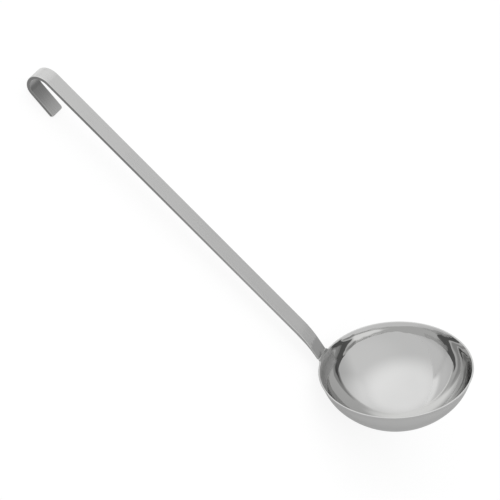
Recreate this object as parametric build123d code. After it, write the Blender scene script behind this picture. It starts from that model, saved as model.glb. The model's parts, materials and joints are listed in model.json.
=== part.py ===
from build123d import *
from math import asin, atan2, cos, degrees, radians, sin, sqrt
import os

# Soup ladle of stainless steel, in millimetres, lying on a table as it is put down:
# on the outside of its bowl and on the end of its hanging hook.
# The bowl is a drawn cup whose lip turns slightly outwards. The handle is one flat strap,
# bent into a hook at its far end and thinned to the thickness of the bowl's wall at its
# near end, where it carries on the slope of the lip. A butt weld, ground flush on both
# sides, joins that end to the rim.
# The pieces are drawn with the rim level, the bowl's axis on Z and the handle towards -X,
# and are then tipped together on to the table.

# Bowl: a flat-arched bottom, a tighter flank, and a lip that turns outwards again and ends
# at the lip angle above the rim's plane
rim_radius = 60.0
bowl_depth = 44.2
bottom_flatness_share = 1.0244
flank_radius = 37.5
lip_radius = 24.0
lip_angle = 62.0
bowl_wall = 1.2
rim_edge_radius = 0.4

# Strap of the handle
strap_width = 15.4
strap_thickness = 2.7
strap_edge_radius = 0.6
strap_length = 270.4
strap_angle = 47.7

# Neck, where the strap leaves the rim and bends from the lip's slope to its own
neck_radius = 110.0

# Hanging hook: a wide lead-in bend, the bend that hangs on a rail, and a straight leg
hook_lead_radius = 13.0
hook_lead_angle = 38.8
hook_radius = 8.2
hook_bend_angle = 135.0
leg_length = 24.3
tip_corner_radius = 2.2

# Weld between rim and neck, with a hollow toe on each side
weld_height = 2.0
weld_toe_edge = 0.1

# Stations between the two ends of the neck, as shares of its length
neck_station_shares = (0.1, 0.3, 0.6)

# How closely the length of an edge is matched where edges are picked for rounding
edge_match = 0.05

# Drawing plane of the side views: x runs from the bowl to the handle, y upwards
side = Plane(origin=(0, 0, 0), x_dir=(-1, 0, 0), z_dir=(0, 1, 0))


def heading(angle):
    """Unit vector in the side view, at an angle in degrees above the rim's plane."""
    return Vector(cos(radians(angle)), sin(radians(angle)))


# The bottom's arc is flatter than the ball that the rim and the depth would fit
bottom_radius = bottom_flatness_share * (rim_radius**2 + bowl_depth**2) / (2 * bowl_depth)

# Centres of the bottom and lip arcs in the side view
bottom_centre = Vector(0, bottom_radius - bowl_depth)
lip_centre = Vector(rim_radius, 0) + heading(lip_angle - 90) * lip_radius


def place_flank():
    """Centre of the flank's arc, which runs on smoothly from the bottom and into the lip."""
    to_lip = lip_centre - bottom_centre
    from_bottom = bottom_radius - flank_radius
    from_lip = flank_radius + lip_radius
    along = (from_bottom**2 - from_lip**2 + to_lip.length**2) / (2 * to_lip.length)
    across = sqrt(from_bottom**2 - along**2)
    ahead = to_lip.normalized()
    return bottom_centre + ahead * along + Vector(ahead.Y, -ahead.X) * across


flank_centre = place_flank()
flank_outwards = (flank_centre - bottom_centre).normalized()
flank_start = bottom_centre + flank_outwards * bottom_radius
lip_inwards = (flank_centre - lip_centre).normalized()


def wall_radius(inset):
    """Radius of the wall in the rim's plane, at a distance inside its outer face."""
    return lip_centre.X - sqrt((lip_radius + inset)**2 - lip_centre.Y**2)


rim_middle = wall_radius(bowl_wall / 2)
rim_inner = wall_radius(bowl_wall)


def wall_line(inset):
    """Arcs of the wall from the bottom to the rim, at a distance inside its outer face."""
    low = bottom_centre - Vector(0, bottom_radius - inset)
    bottom_turn = 90 + degrees(atan2(flank_outwards.Y, flank_outwards.X))
    bottom_arc = JernArc(low, (1, 0), bottom_radius - inset, bottom_turn)
    flank_end = lip_centre + lip_inwards * (lip_radius + inset)
    along_flank = Vector(-flank_outwards.Y, flank_outwards.X)
    flank_arc = TangentArc(bottom_arc @ 1, flank_end, tangent=along_flank)
    rim = Vector(wall_radius(inset), 0)
    along_lip = Vector(lip_inwards.Y, -lip_inwards.X)
    lip_arc = TangentArc(flank_end, rim, tangent=along_lip)
    return bottom_arc, flank_arc, lip_arc


def square_section():
    """Half section of the bowl with a square-cut rim."""
    outer = wall_line(0)
    inner = wall_line(bowl_wall)
    rim = Line(outer[-1] @ 1, inner[-1] @ 1)
    middle = Line(inner[0] @ 0, outer[0] @ 0)
    return make_face([*outer, rim, *inner, middle])


def round_section():
    """Half section of the bowl with the two edges of its rim rounded."""
    square = square_section()
    return fillet(square.vertices().sort_by(Axis.Y)[-2:], rim_edge_radius)


def make_bowl():
    """Drawn bowl of even wall, with a rounded rim."""
    return revolve(side * round_section(), Axis.Z)


toe_radius = weld_height - weld_toe_edge
weld_span = 2 * degrees(asin((strap_width / 2 + toe_radius) / rim_radius))
weld_rise = heading(lip_angle) * (weld_height / sin(radians(lip_angle)))


def make_weld():
    """Weld bead in line with the lip: it fills the rounding of the rim under the handle,
    and is hollowed at each side down to a thin toe."""
    inner_foot = Vector(rim_inner, 0)
    outer_foot = Vector(rim_radius, 0)
    band = make_face(
        Polyline(inner_foot, outer_foot, outer_foot + weld_rise, inner_foot + weld_rise, close=True)
    )
    below = Pos(0, -2 * rim_edge_radius - rim_radius) * Rectangle(4 * rim_radius, 2 * rim_radius)
    section = band + (square_section() - below) - round_section()
    bead = revolve(side * section, Axis.Z, weld_span).rotate(Axis.Z, -weld_span / 2)
    for sign in (-1, 1):
        centre = Vector(-rim_radius, sign * (strap_width / 2 + toe_radius), weld_height)
        bead -= Plane(origin=centre, z_dir=(1, 0, 0)) * Cylinder(toe_radius, strap_width)
    return bead


def bend(place, angle, radius, turn):
    """End and direction of a bend of the strap's middle line away from the bowl."""
    centre = place + heading(angle - 90) * radius
    return centre + heading(angle - turn + 90) * radius, angle - turn


neck_length = neck_radius * radians(lip_angle - strap_angle)


def neck_state(distance):
    """Place and direction of the strap's middle line, at a distance up from the weld."""
    place = Vector(rim_middle, 0) + weld_rise
    return bend(place, lip_angle, neck_radius, degrees(distance / neck_radius))


def neck_section(plane, thickness, dish, corner):
    """Section of the strap, flat or dished like the wall, with rounded corners."""
    edge = strap_width / 2
    flat = edge - corner
    lift = dish * (flat / edge)**2
    top = lift + thickness / 2
    low = lift - thickness / 2
    nip = corner * (1 - sqrt(0.5))
    if dish > 0:
        top_edge = ThreePointArc((-flat, top), (0, thickness / 2), (flat, top))
        low_edge = ThreePointArc((flat, low), (0, -thickness / 2), (-flat, low))
    else:
        top_edge = Line((-flat, top), (flat, top))
        low_edge = Line((flat, low), (-flat, low))
    outline = [
        top_edge,
        ThreePointArc((flat, top), (edge - nip, top - nip), (edge, top - corner)),
        Line((edge, top - corner), (edge, low + corner)),
        ThreePointArc((edge, low + corner), (edge - nip, low + nip), (flat, low)),
        low_edge,
        ThreePointArc((-flat, low), (nip - edge, low + nip), (-edge, low + corner)),
        Line((-edge, low + corner), (-edge, top - corner)),
        ThreePointArc((-edge, top - corner), (nip - edge, top - nip), (-flat, top)),
    ]
    return plane * make_face(outline)


def make_neck():
    """Near end of the strap, from the thin curved edge on the weld to the flat, thick strap."""
    rim_dish = (strap_width / 2)**2 / (2 * rim_middle)
    sections = []
    for share in (0, *neck_station_shares, 1):
        place, angle = neck_state(share * neck_length)
        fade = share**2 * (3 - 2 * share)
        thickness = bowl_wall + (strap_thickness - bowl_wall) * fade
        facing = heading(angle)
        if share == 0:
            thickness = rim_radius - rim_inner
            facing = heading(90)
        plane = Plane(
            origin=side.from_local_coords(place), x_dir=(0, 1, 0), z_dir=(-facing.X, 0, facing.Y)
        )
        corner = rim_edge_radius + (strap_edge_radius - rim_edge_radius) * fade
        sections.append(neck_section(plane, thickness, rim_dish * (1 - fade), corner))
    return loft(sections)


def strap_face_line(offset):
    """Side view of one face of the strap beyond the neck, at an offset from its middle."""
    place, angle = neck_state(neck_length)
    place = place + heading(angle + 90) * offset
    edges = [Line(place, place + heading(angle) * strap_length)]
    for radius, turn in ((hook_lead_radius, hook_lead_angle), (hook_radius, hook_bend_angle)):
        edges.append(JernArc(edges[-1] @ 1, heading(angle), radius + offset, -turn))
        angle -= turn
    edges.append(Line(edges[-1] @ 1, (edges[-1] @ 1) + heading(angle) * leg_length))
    return edges


def make_strap():
    """Straight strap with its hook, cut to a round-cornered tip and rounded over its edges."""
    top = strap_face_line(strap_thickness / 2)
    low = strap_face_line(-strap_thickness / 2)
    tip = Line(top[-1] @ 1, low[-1] @ 1)
    start = Line(low[0] @ 0, top[0] @ 0)
    strap = extrude(side * make_face([*top, tip, *low, start]), strap_width / 2, both=True)
    tip_middle = side.from_local_coords(tip @ 0.5)
    through = strap.edges().filter_by(lambda edge: abs(edge.length - strap_thickness) < edge_match)
    tip_corners = through.sort_by(lambda edge: (edge.center() - tip_middle).length)[:2]
    strap = fillet(tip_corners, tip_corner_radius)
    lengthwise = strap.edges().filter_by(
        lambda edge: abs(edge.length - strap_thickness) > edge_match
        and abs(edge.length - strap_width) > edge_match
    )
    return fillet(lengthwise, strap_edge_radius)


def make_handle():
    """Handle in one piece: the neck, the straight strap and the hook."""
    return make_neck() + make_strap()


def rest_line():
    """Angle of the table under bowl and hook tip, and the height of the bowl's centre on it."""
    place, angle = neck_state(neck_length)
    place = place + heading(angle) * strap_length
    place, angle = bend(place, angle, hook_lead_radius, hook_lead_angle)
    place, angle = bend(place, angle, hook_radius, hook_bend_angle)
    inset = strap_thickness / 2 - strap_edge_radius
    corner = place + heading(angle) * (leg_length - strap_edge_radius) + heading(angle + 90) * inset
    for centre, radius in ((bottom_centre, bottom_radius), (flank_centre, flank_radius)):
        away = corner - centre
        slope = atan2(away.Y, away.X) + asin((radius - strap_edge_radius) / away.length)
        touch = centre + heading(degrees(slope) - 90) * radius
        is_on_bottom = touch.X <= flank_start.X
        if is_on_bottom == (radius == bottom_radius):
            break
    return degrees(slope), radius + centre.dot(heading(degrees(slope) - 90))


def hook_centre():
    """Centre of the bend that hangs on a rail, in the side view."""
    place, angle = neck_state(neck_length)
    place = place + heading(angle) * strap_length
    place, angle = bend(place, angle, hook_lead_radius, hook_lead_angle)
    return place + heading(angle - 90) * hook_radius


def back_middle():
    """Middle of the straight strap's flat back, in the side view, and its outward direction."""
    place, angle = neck_state(neck_length)
    back = heading(angle - 90)
    return place + heading(angle) * (strap_length / 2) + back * (strap_thickness / 2), back


def main():
    os.makedirs("parts", exist_ok=True)
    tilt, height = rest_line()
    pieces = {"bowl": make_bowl(), "weld_seam": make_weld(), "handle": make_handle()}
    tipped = {name: shape.rotate(Axis.Y, -tilt) for name, shape in pieces.items()}
    boxes = [shape.bounding_box() for shape in tipped.values()]
    reach = min(box.min.X for box in boxes) + max(box.max.X for box in boxes)
    shift = Vector(-reach / 2, 0, height)
    for name, shape in tipped.items():
        export_step(shape.moved(Location(shift)), f"parts/{name}.step")

    back, outwards = back_middle()
    rail = side.from_local_coords(hook_centre()).rotate(Axis.Y, -tilt) + shift
    back = side.from_local_coords(back).rotate(Axis.Y, -tilt) + shift
    outwards = side.from_local_coords(outwards).rotate(Axis.Y, -tilt)
    print("tilt of the rim", round(tilt, 4), "moved by", shift)
    print("rail in the hook at", rail, "radius", hook_radius - strap_thickness / 2)
    print("middle of the strap's back at", back, "facing", outwards)


main()
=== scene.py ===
# %% [markdown]
# # A steel soup ladle
# The ladle is one deep, round bowl and one flat strap of stainless steel, welded at the rim.
# The bowl is polished like a mirror inside, the strap has a fine satin, and almost nothing
# else shows, so the picture is made by two things: exact, smooth surfaces and the soft
# room that they mirror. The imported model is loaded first, as a fixed frame. Every new
# piece is drawn in metres in that same frame, so nothing is fitted afterwards.

# %% Load the frame
import bpy
import json
from math import atan2, cos, pi, radians, sin, sqrt
from mathutils import Matrix, Vector


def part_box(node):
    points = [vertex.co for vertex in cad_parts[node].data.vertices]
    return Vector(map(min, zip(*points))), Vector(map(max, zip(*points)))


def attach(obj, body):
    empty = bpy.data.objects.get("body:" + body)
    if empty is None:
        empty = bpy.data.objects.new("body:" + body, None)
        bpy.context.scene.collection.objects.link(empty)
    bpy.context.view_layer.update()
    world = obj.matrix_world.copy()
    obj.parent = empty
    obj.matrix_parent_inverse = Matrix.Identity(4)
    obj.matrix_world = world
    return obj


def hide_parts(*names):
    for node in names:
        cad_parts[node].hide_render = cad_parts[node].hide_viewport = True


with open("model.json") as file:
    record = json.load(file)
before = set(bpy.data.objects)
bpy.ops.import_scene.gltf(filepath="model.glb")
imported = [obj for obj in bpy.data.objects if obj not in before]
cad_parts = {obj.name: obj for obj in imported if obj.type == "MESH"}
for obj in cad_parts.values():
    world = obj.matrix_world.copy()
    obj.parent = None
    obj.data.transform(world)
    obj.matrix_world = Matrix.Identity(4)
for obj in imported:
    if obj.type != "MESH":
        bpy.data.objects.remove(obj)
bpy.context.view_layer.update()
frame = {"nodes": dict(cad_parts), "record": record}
mm = 0.001

# %% [markdown]
# ## Selecting by hand, in code
# The mesh operators act on all that is selected, as they do in a viewport. So each step
# here starts with nothing selected, and then picks what it needs by place.


# %% Helpers for edit mode
def start_piece(name):
    """Deselects all objects, then adds a named object whose mesh is a single selected vertex,
    in edit mode.
    """
    bpy.ops.object.select_all(action="DESELECT")
    bpy.ops.mesh.primitive_plane_add(size=mm)
    piece = bpy.context.object
    piece.name = piece.data.name = name
    bpy.ops.object.mode_set(mode="EDIT")
    bpy.ops.mesh.select_all(action="SELECT")
    bpy.ops.mesh.merge(type="CENTER")
    return piece


def move_selected(offset):
    bpy.ops.transform.translate(value=offset)


def extrude_selected(offset):
    bpy.ops.mesh.extrude_region_move(TRANSFORM_OT_translate={"value": offset})


def last_place(piece):
    """Place of the one selected vertex."""
    piece.update_from_editmode()
    return next(vertex.co.copy() for vertex in piece.data.vertices if vertex.select)


def settle(piece):
    """Applies the object's place and turn, so that its mesh alone holds them."""
    bpy.ops.object.select_all(action="DESELECT")
    piece.select_set(True)
    bpy.context.view_layer.objects.active = piece
    bpy.ops.object.transform_apply(location=True, rotation=True, scale=True)


# %% [markdown]
# ## The bowl's drawing
# A ladle's bowl is drawn from a disc: a shallow bottom arc runs into a tighter flank arc,
# the flank runs into a lip that curves outwards a little, and the lip ends at a square-cut
# rim whose two edges are rounded. No two arcs meet at a corner, because a mirror would show
# it. These are the sizes of the real bowl, with the rim level and its middle at the origin.
# All centres and angles follow from them.

# %% Sizes of the bowl
rim_radius = 60 * mm
bowl_depth = 44.2 * mm
bottom_flatness_share = 1.0244
flank_radius = 37.5 * mm
lip_radius = 24 * mm
lip_angle = radians(62)
bowl_wall = 1.2 * mm
rim_edge_radius = 0.4 * mm

bottom_radius = bottom_flatness_share * (rim_radius**2 + bowl_depth**2) / (2 * bowl_depth)
bottom_centre = Vector((0, bottom_radius - bowl_depth))
lip_centre = Vector((rim_radius + lip_radius * sin(lip_angle), -lip_radius * cos(lip_angle)))
to_lip = lip_centre - bottom_centre
from_bottom = bottom_radius - flank_radius
from_lip = flank_radius + lip_radius
along = (from_bottom**2 - from_lip**2 + to_lip.length_squared) / (2 * to_lip.length)
ahead = to_lip.normalized()
aside = Vector((ahead.y, -ahead.x)) * sqrt(from_bottom**2 - along**2)
flank_centre = bottom_centre + ahead * along + aside
bottom_end = flank_centre - bottom_centre
flank_end = lip_centre - flank_centre
bottom_angle = atan2(bottom_end.x, -bottom_end.y)
flank_angle = atan2(flank_end.x, -flank_end.y)
print("bottom radius", bottom_radius, "slopes", bottom_angle, flank_angle, lip_angle)


# %% Roundings of the rim
def rim_edge(distance):
    """Centre of a rounding just under the rim's plane, at a distance from the lip's centre,
    and the slope of the wall beside it."""
    rise = -rim_edge_radius - lip_centre.y
    centre = lip_centre + Vector((-sqrt(distance**2 - rise**2), rise))
    return centre, atan2(lip_centre.x - centre.x, rise)


outer_edge, outer_slope = rim_edge(lip_radius + rim_edge_radius)
inner_edge, inner_slope = rim_edge(lip_radius + bowl_wall - rim_edge_radius)
print("rim roundings at", outer_edge[:], inner_edge[:])

# %% [markdown]
# ## Spinning the bowl
# A mirror shows every flaw of its mesh, so the bowl isn't a squashed sphere. Its section is
# drawn as a chain of true arcs: Spin turns a single vertex about an arc's centre and
# leaves a chain of edges. The closed section is then spun once round the bowl's axis.
# That gives a wall with two sides and a rim, as the real sheet has.

# %% Draw the section
segment = 0.9 * mm
edge_segments = 8


def spin_vertex(centre, angle, segments):
    """Draws an arc in the XZ plane: turns the selected vertex about a centre."""
    bpy.ops.mesh.spin(
        steps=segments, angle=angle, center=(centre.x, 0, centre.y), axis=(0, 1, 0)
    )


bottom_steps = round(bottom_radius * bottom_angle / segment)
flank_steps = round(flank_radius * (flank_angle - bottom_angle) / segment)
lip_steps = 2 * round(lip_radius * (flank_angle - outer_slope) / segment)
bowl = start_piece("bowl_shell")
move_selected((0, 0, -bowl_depth))
spin_vertex(bottom_centre, bottom_angle, bottom_steps)
spin_vertex(flank_centre, flank_angle - bottom_angle, flank_steps)
spin_vertex(lip_centre, outer_slope - flank_angle, lip_steps)
print("outside drawn to", last_place(bowl)[:])
spin_vertex(outer_edge, pi - outer_slope, edge_segments)
extrude_selected((inner_edge.x - outer_edge.x, 0, 0))
spin_vertex(inner_edge, inner_slope, edge_segments)
print("rim drawn to", last_place(bowl)[:])
spin_vertex(lip_centre, flank_angle - inner_slope, lip_steps)
spin_vertex(flank_centre, bottom_angle - flank_angle, flank_steps)
spin_vertex(bottom_centre, -bottom_angle, bottom_steps)
print("inside drawn to", last_place(bowl)[:])

# %% Spin the section into a bowl
bowl_segments = 360
merge_distance = 0.001 * mm
bpy.ops.mesh.select_all(action="SELECT")
bpy.ops.mesh.spin(steps=bowl_segments, angle=2 * pi, center=(0, 0, 0), axis=(0, 0, 1))
bpy.ops.mesh.select_all(action="SELECT")
bpy.ops.mesh.remove_doubles(threshold=merge_distance)
bpy.ops.mesh.normals_make_consistent(inside=False)
bpy.ops.mesh.faces_shade_smooth()
bpy.ops.object.mode_set(mode="OBJECT")
print("bowl", len(bowl.data.vertices), "vertices", len(bowl.data.polygons), "faces")

# %% [markdown]
# ## Laying the ladle down
# The ladle lies on its bowl and on the end of its hook, which tips the rim. The record gives
# the way that the back of the strap faces, and the strap leaves the rim at a known angle,
# so the difference of the two is the rim's tilt. The bowl's own box then gives its place.

# %% Tip the bowl and put it in its node's place
strap_angle = radians(47.7)
mounts = {mount["name"]: mount for mount in frame["record"]["mounts"]}
back_axis = Vector(mounts["strap_back"]["axis"])
strap_slope = atan2(-back_axis.x, -back_axis.z)
rim_tilt = strap_angle - strap_slope
bowl.rotation_euler = (0, -rim_tilt, 0)
settle(bowl)
bowl_low, bowl_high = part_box("bowl")
own_high = Vector(max(vertex.co[axis] for vertex in bowl.data.vertices) for axis in range(3))
bowl.location = Vector(bowl_high) - own_high
bowl.location.y = 0
rim_centre = bowl.location.copy()
settle(bowl)
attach(bowl, "root")
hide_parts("bowl")
print("rim tilted by", rim_tilt, "rim's middle at", rim_centre[:])

# %% [markdown]
# ## Writing shaders as sums
# A finish is mostly arithmetic: where the edge is, how strong the brushing is, how far one
# finish has faded into the next. One small class wraps a socket, so that such a sum can be
# written as a Python expression and builds its own Math nodes.


# %% A socket that can be used in a sum
class Wire:
    """An output socket. Arithmetic on it adds Math nodes to its tree."""

    def __init__(self, tree, socket=None):
        self.tree = tree
        self.socket = socket

    def add(self, kind, settings=None, output=0, **inputs):
        """Adds a node, sets it, connects its inputs by name or number, returns one output."""
        node = self.tree.nodes.new(kind)
        for name, value in (settings or {}).items():
            setattr(node, name, value)
        for name, value in inputs.items():
            numbered = name[0] == "i" and name[1:].isdigit()
            socket = node.inputs[int(name[1:]) if numbered else name]
            if isinstance(value, Wire):
                self.tree.links.new(value.socket, socket)
            else:
                socket.default_value = value
        return Wire(self.tree, node.outputs[output])

    def math(self, operation, first, second=0.0):
        return self.add("ShaderNodeMath", {"operation": operation}, i0=first, i1=second)

    def __add__(self, other):
        return self.math("ADD", self, other)

    def __radd__(self, other):
        return self.math("ADD", other, self)

    def __sub__(self, other):
        return self.math("SUBTRACT", self, other)

    def __rsub__(self, other):
        return self.math("SUBTRACT", other, self)

    def __mul__(self, other):
        return self.math("MULTIPLY", self, other)

    def __truediv__(self, other):
        return self.math("DIVIDE", self, other)

    def __pow__(self, other):
        return self.math("POWER", self, other)

    def __abs__(self):
        return self.math("ABSOLUTE", self)

    def above(self, level):
        """1 above a level and 0 below it."""
        return self.math("GREATER_THAN", self, level)

    def larger(self, other):
        return self.math("MAXIMUM", self, other)

    def fade(self, other, share):
        """This value at a share of 0, and the other one at a share of 1."""
        return self + (other - self) * share

    def step(self, start, end):
        """0 up to the start, 1 from the end on, and a smooth rise between them."""
        smooth = {"interpolation_type": "SMOOTHSTEP"}
        return self.add("ShaderNodeMapRange", smooth, i0=self, i1=start, i2=end)

    def parts(self):
        """The three parts of a vector."""
        node = self.tree.nodes.new("ShaderNodeSeparateXYZ")
        self.tree.links.new(self.socket, node.inputs[0])
        return [Wire(self.tree, socket) for socket in node.outputs]

    def vector(self, first, second, third):
        return self.add("ShaderNodeCombineXYZ", i0=first, i1=second, i2=third)

    def vector_math(self, operation, *others, output=0):
        inputs = {f"i{number}": value for number, value in enumerate((self, *others))}
        return self.add("ShaderNodeVectorMath", {"operation": operation}, output, **inputs)

    def dot(self, direction):
        return self.vector_math("DOT_PRODUCT", direction, output="Value")

    def noise(self, scale, detail, output=0):
        """Soft random values between 0 and 1, looked up at this vector."""
        lookup = {"Vector": self, "Scale": scale, "Detail": detail}
        return self.add("ShaderNodeTexNoise", output=output, **lookup)

    def mix(self, first, second):
        """A colour where this is 0, another where it is 1, and beyond them outside that."""
        settings = {"data_type": "RGBA", "clamp_factor": False}
        return self.add("ShaderNodeMix", settings, output=2, i0=self, i6=first, i7=second)


def empty_tree(owner):
    """Clears the nodes of a world or a material, and returns a wire to start from."""
    owner.use_nodes = True
    owner.node_tree.nodes.clear()
    return Wire(owner.node_tree)


def show(shader, kind):
    """Connects a shader to a new output node."""
    output = shader.tree.nodes.new(kind)
    shader.tree.links.new(shader.socket, output.inputs["Surface"])


# %% [markdown]
# ## The room
# Polished steel has no tone of its own, so its picture is the room's. The room is soft and
# plain: a wide pale light behind the hook, a dimmer rest, and a slow fall of light along the
# strap. Low beyond the bowl it has a pale window and a dim corner, because steel that mirrors
# one even grey looks like plastic. To the camera itself the room is white.
#
# The bowl mirrors the room once on its floor and twice or more near its rim. On a studio
# picture the floor of the bowl is kept calm, while the rim shows all of the studio: a lamp
# close by on one side, and a dark screen behind the camera. So what a ray sees depends here
# on how often it was mirrored, which Light Path's Ray Depth tells: it is 2 after one mirror
# and 3 after two. The dark screen has a wavy outline, which comes from a little noise added
# to the direction.


# %% Directions in the room
def heading(azimuth, elevation):
    """Unit vector towards an azimuth, from +X towards +Y, and an elevation, in degrees."""
    azimuth, elevation = radians(azimuth), radians(elevation)
    flat = cos(elevation)
    return Vector((flat * cos(azimuth), flat * sin(azimuth), sin(elevation)))


pure_white = (1, 1, 1, 1)
noise_middle = (0.5, 0.5, 0.5)
ripple_size = (0.14, 0.14, 0.14)
world = bpy.data.worlds.new("soft_room")
bpy.context.scene.world = world
start = empty_tree(world)
towards = start.add("ShaderNodeTexCoord", output="Generated")
ripple = towards.noise(2.6, 2.0, output="Color").vector_math("SUBTRACT", noise_middle)
wavy = ripple.vector_math("MULTIPLY_ADD", ripple_size, towards)


def patch(azimuth, elevation, radius, softness, direction=towards):
    """1 within an angle of a direction, fading to 0 over the softness, in degrees."""
    outside = cos(radians(radius + softness))
    inside = cos(radians(max(radius - softness, 0.0)))
    return direction.dot(heading(azimuth, elevation)).step(outside, inside)


print("room's directions", len(world.node_tree.nodes), "nodes")

# %% What the steel sees once
calm_level = 0.74
wide_light = patch(166, 33, 42, 16) * 0.3
overhead = patch(0, 90, 20, 50) * 0.06
strap_light = patch(108, 42, 20, 15) * 0.18
neck_dusk = patch(55, 38, 20, 20) * 0.2
far_window = patch(25, 14, 15, 9) * 0.45
far_corner = patch(-22, 8, 15, 8) * 0.38
calm_room = wide_light.larger(strap_light) + overhead - neck_dusk
calm_room = calm_room + far_window - far_corner + calm_level
print("calm room", len(world.node_tree.nodes), "nodes")

# %% What it sees again, and the camera's own white
whole_level = 0.8
near_lamp = patch(-168, 33, 29, 11, wavy) * 0.65
dark_screen = patch(-107, 36, 20, 2.5, wavy) * 0.8
screen_top = patch(-82, 55, 11, 5, wavy) * 0.42
screen_foot = patch(-132, 3, 14, 7, wavy) * 0.42
whole_room = near_lamp + whole_level
for shade in (dark_screen, screen_top, screen_foot):
    whole_room = whole_room * (1 - shade)
again = start.add("ShaderNodeLightPath", output="Ray Depth").above(2.5)
seen = start.add("ShaderNodeLightPath", output="Is Camera Ray")
strength = calm_room.fade(whole_room, again).fade(1, seen)
background = start.add("ShaderNodeBackground", Color=pure_white, Strength=strength)
show(background, "ShaderNodeOutputWorld")
print("room", len(world.node_tree.nodes), "nodes")

# %% [markdown]
# ## The table
# The ladle lies on a white table. The table is white to the camera and keeps the ladle's
# soft shadow. To the steel it is a pale surface close by, and it glows a little for mirrored
# rays, because the steel would otherwise show the table's shaded part as a dark band. The
# glow is stronger on the hook's side, and most of all beyond the strap, as the light of a
# window falls off over a table. Further away the table fades into the room for every ray
# but the camera's, because a mirror would show its far edge as a line.

# %% Table
table_radius = 3.0
bpy.ops.object.select_all(action="DESELECT")
bpy.ops.mesh.primitive_circle_add(vertices=64, radius=table_radius, fill_type="NGON")
table = bpy.context.object
table.name = "table"
print("table", table.dimensions[:])

# %% Tone of the table
table_colour = (0.22, 0.22, 0.22, 1)
camera_glow = 0.83
mirror_glow = 0.44
fade_start = 0.28
fade_end = 0.8

white = bpy.data.materials.new("white_table")
start = empty_tree(white)
seen = start.add("ShaderNodeLightPath", output="Is Camera Ray")
mirrored = start.add("ShaderNodeLightPath", output="Is Glossy Ray")
place = start.add("ShaderNodeNewGeometry", output="Position")
lengthwise, crosswise = place.parts()[:2]
beyond = crosswise.step(-0.01, 0.04) * (1 - lengthwise.step(-0.1, 0.02)) * 0.3
hookward = (1 - lengthwise.step(0.04, 0.12)) * 0.1
glow = seen * camera_glow + mirrored * (beyond + hookward + mirror_glow)
plain = start.add("ShaderNodeBsdfDiffuse", Color=table_colour)
lift = start.add("ShaderNodeEmission", Color=pure_white, Strength=glow)
lit = start.add("ShaderNodeAddShader", i0=plain, i1=lift)
clear = start.add("ShaderNodeBsdfTransparent")
away = place.vector_math("LENGTH", output="Value")
below = start.add("ShaderNodeNewGeometry", output="Backfacing")
faded = (away.step(fade_start, fade_end) * (1 - seen)).larger(below)
show(start.add("ShaderNodeMixShader", i0=faded, i1=lit, i2=clear), "ShaderNodeOutputMaterial")
table.data.materials.append(white)
print("tone of the table", len(white.node_tree.nodes), "nodes")

# %% [markdown]
# ## Steel finishes
# All pieces are the same stainless steel, so their materials start alike: fully metallic,
# with the pale grey of steel. What tells them apart is how they were polished. Each finish
# below works out a roughness, a faint change of colour and a tiny relief, and hands them
# to one Principled shader. Where steel is left as ground or sheared, it is dull.

# %% A steel material and its coordinates
dull_roughness = 0.42


def new_steel(name):
    """A steel material. Returns it with its shader and its object coordinates."""
    material = bpy.data.materials.new(name)
    material.use_nodes = True
    shader = material.node_tree.nodes["Principled BSDF"]
    shader.inputs["Metallic"].default_value = 1
    place = Wire(material.node_tree).add("ShaderNodeTexCoord", output="Object")
    return material, shader, place


def finish_steel(shader, colour, tint, roughness, relief, depth):
    """Connects a finish: a tint of the colour, the roughness, and a relief of a depth."""
    tree = roughness.tree
    dark = tuple(0.9 * part for part in colour) + (1,)
    light = tuple(1.1 * part for part in colour) + (1,)
    tree.links.new(tint.mix(dark, light).socket, shader.inputs["Base Color"])
    tree.links.new(roughness.socket, shader.inputs["Roughness"])
    bump = relief.add("ShaderNodeBump", Strength=1.0, Distance=depth, Height=relief)
    tree.links.new(bump.socket, shader.inputs["Normal"])


# %% [markdown]
# ## Places on the bowl
# The inside of the bowl is buffed while the bowl spins, so its finish follows rings round
# its axis. A Mapping node undoes the tilt, so that heights and radii are the bowl's own.
# Which side a point is on follows from its normal: inside, it points towards a place over
# the bowl's middle. Beside the neck the buffing wheel can't reach the wall, so a patch with
# a ragged outline stays as dull as the grinding of the weld left it.

# %% Places on the bowl
mirror, shader, place = new_steel("mirror_steel")
upright = place.add(
    "ShaderNodeMapping", {"vector_type": "TEXTURE"},
    Vector=place, Location=rim_centre, Rotation=(0, -rim_tilt, 0),
)
across, sideways, height = upright.parts()
radius = (across * across + sideways * sideways) ** 0.5
over_middle = rim_centre + Vector((-sin(rim_tilt), 0, cos(rim_tilt))) * 20 * mm
facing = place.add("ShaderNodeTexCoord", output="Normal")
outside = facing.dot(place.vector_math("SUBTRACT", over_middle)).step(-1 * mm, 1 * mm)
bottom = 1 - radius.step(26 * mm, 47 * mm)
wall = radius.step(53 * mm, 57.5 * mm) * (1 - outside)

patch_azimuth = radians(-163)
raggedness = 0.1
clouds = place.noise(60.0, 3.0)
beside_neck = (across * cos(patch_azimuth) + sideways * sin(patch_azimuth)) / radius
ground = (beside_neck + clouds * raggedness).step(
    cos(radians(33)) + raggedness / 2, cos(radians(25)) + raggedness / 2
)
ground = ground * height.step(-15 * mm, -11 * mm)
print("places on the bowl", len(mirror.node_tree.nodes), "nodes")

# %% [markdown]
# ## The polished bowl
# The inside is a mirror, and all that is left of the wheel are hairlines. The bottom, where
# ladles meet pots and spoons, is a little softer than the rim. The outside is polished less
# finely. Drawing leaves slight waves in the wall near the rim, about a tenth of a millimetre
# high, and they give the mirrored lines their ripples. The waves are counted from the middle
# of their noise, or else the wall would get a step where they begin. Steel mirrors a little
# less than the shader's own guess at a glancing angle, which its Specular Tint corrects.

# %% Bowl finish
bowl_colour = (0.66, 0.66, 0.655)
glancing_colour = (0.8, 0.8, 0.8, 1)
bowl_relief = 0.0008 * mm
wave_height = 560
ring_scale = 5200

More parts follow.
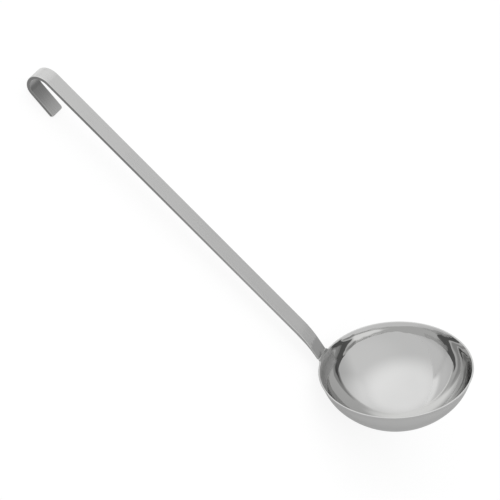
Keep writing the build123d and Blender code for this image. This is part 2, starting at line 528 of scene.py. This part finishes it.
rings = place.vector(radius * ring_scale, height * ring_scale, 0.0).noise(1.0, 2.0)
specks = place.noise(900.0, 2.0)
waves = place.noise(80.0, 1.0)
inner_roughness = (bottom * (0.05 + clouds * 0.06) + 0.015).fade(dull_roughness, ground)
outer_roughness = 0.09 + rings * 0.07 + clouds * 0.04
roughness = inner_roughness.fade(outer_roughness, outside)
tint = 0.5 + (clouds - 0.5) * 0.25 * (bottom + outside) + (rings - 0.5) * 0.3 * outside
tint = tint - ground * (1 - outside) * 0.4
relief = rings * (outside * 0.9 + 0.1) + specks * bottom * 0.2
relief = relief + (waves - 0.5) * wall * wave_height
finish_steel(shader, bowl_colour, tint, roughness, relief, bowl_relief)
shader.inputs["Specular Tint"].default_value = glancing_colour
bowl.data.materials.append(mirror)
print("bowl finish", len(mirror.node_tree.nodes), "nodes")

# %% [markdown]
# ## The satin strap
# The strap is brushed along its length. Its lines run the same way through the neck and the
# hook, and the strap's width always lies along Y, so noise that is squeezed in Y alone gives
# brushing that follows every bend. The rounded edges are rubbed smoother, and their colour
# is lighter as a painted highlight. The sheared sides below them are dull, and painted shade
# makes them dark, darkest towards the hook. Towards the bowl the satin fades into polish,
# and painted shade makes that polished end darker. The inside of the hook mirrors little but
# the hook itself, so painted shade makes it darker.
#
# A handle that is mirrored in the bowl would draw a dark sliver into its calm floor. So the
# handle and the weld are hidden from mirrored rays.

# %% Sizes of the strap's finish
strap_colour = (0.64, 0.64, 0.635)
strap_relief = 0.0015 * mm
polished_to = 66.5 * mm
satin_from = 68.5 * mm
flat_half_width = 6.7 * mm
edge_half_width = 7.3 * mm
hairlines_along = 14
hairlines_across = 3600
hook_middle = Vector(mounts["hook"]["pos_m"])
hook_radius = mounts["hook"]["dims"]["r_mm"] * mm
print("hook's middle", hook_middle[:], "radius", hook_radius)


# %% Strap finish
def hook_shade(place, facing_up):
    """How much painted shade darkens the steel on the inside of the hook's bend and leg."""
    lengthwise, height = place.parts()[::2]
    ahead, above = place.vector_math("SUBTRACT", hook_middle).parts()[::2]
    from_middle = (ahead * ahead + above * above) ** 0.5
    inner_bend = 1 - from_middle.step(hook_radius * 1.05, hook_radius * 1.12)
    inside_leg = facing_up.step(0.1, 0.5) * (1 - height.step(8 * mm, 15 * mm))
    inside_leg = inside_leg * (1 - lengthwise.step(-172 * mm, -162 * mm))
    return inside_leg.larger(inner_bend) * (3.2 - lengthwise.step(-194 * mm, -168 * mm) * 2)


def satin_steel(name):
    """Satin steel that is brushed along the strap, and polished close to the bowl."""
    material, shader, place = new_steel(name)
    lengthwise, sideways, height = place.parts()
    facing_aside, facing_up = place.add("ShaderNodeTexCoord", output="Normal").parts()[1:]
    clouds = place.noise(45.0, 3.0)
    flecks = place.noise(420.0, 2.0)
    grit = place.noise(2600.0, 2.0)
    hairlines = place.vector(
        lengthwise * hairlines_along, sideways * hairlines_across, height * hairlines_along
    ).noise(1.0, 3.0)

    from_rim = place.vector_math("DISTANCE", rim_centre, output="Value")
    polish_and_shade = 1 - (from_rim + (flecks - 0.5) * 6 * mm).step(polished_to, satin_from)
    sheared = abs(facing_aside).step(0.8, 0.95)
    edge = abs(sideways).step(flat_half_width, edge_half_width) * (1 - sheared)

    satin = 0.24 + hairlines * 0.1 + (clouds - 0.5) * 0.06
    roughness = satin.fade(0.1, polish_and_shade.larger(edge * 0.7)).fade(dull_roughness, sheared)
    # The edge's share of the tint is a painted highlight on the rounded edges.
    tint = 0.5 + (hairlines - 0.5) * 0.5 + (clouds - 0.5) * 0.25 + edge * 0.5
    # Painted shade: the polished end near the bowl and the inside of the hook are made darker
    # in colour.
    tint = tint - polish_and_shade * 1.1 - hook_shade(place, facing_up)
    # Painted shade: the sheared sides are made dark, darkest towards the hook, and the grit
    # adds random tone.
    side_grit_and_shade = lengthwise.step(-150 * mm, 90 * mm) * 1.6 + grit * 0.4 - 2.6
    tint = tint.fade(side_grit_and_shade, sheared)
    relief = hairlines * (1 - sheared) * (1 - polish_and_shade * 0.7) + grit * sheared * 0.8
    finish_steel(shader, strap_colour, tint, roughness, relief, strap_relief)
    print(name, len(material.node_tree.nodes), "nodes")
    return material


for name, material_name in (("handle", "strap_steel"), ("weld_seam", "weld_steel")):
    finish = satin_steel(material_name)
    for material_slot in frame["nodes"][name].material_slots:
        material_slot.material = finish
    frame["nodes"][name].visible_glossy = False

# %% [markdown]
# ## The camera
# The camera looks down at the ladle from the side of its handle, turned so that the strap
# runs from the upper left to the lower right. The Standard view shows every tone as it was
# worked out, so that the white table stays white. Near its rim a deep bowl mirrors itself
# again and again, so a ray may be mirrored ten times before it counts as black.

# %% Camera
mirrorings = 10
camera_place = Vector((-141.492, -814.130, 729.770)) * mm
camera_turn = Matrix((
    (0.7172235, -0.6829805, -0.1383045),
    (0.3715300, 0.5426996, -0.7532879),
    (0.5895387, 0.4888915, 0.6429846),
))
bpy.ops.object.camera_add()
camera = bpy.context.object
camera.matrix_world = Matrix.Translation(camera_place) @ camera_turn.to_4x4()
camera.data.sensor_width = 36
camera.data.lens = 101.757
camera.data.clip_start = 0.01
bpy.context.scene.camera = camera
bpy.context.scene.view_settings.view_transform = "Standard"
bpy.context.scene.cycles.glossy_bounces = mirrorings
print("camera at", camera_place[:], "lens", camera.data.lens)
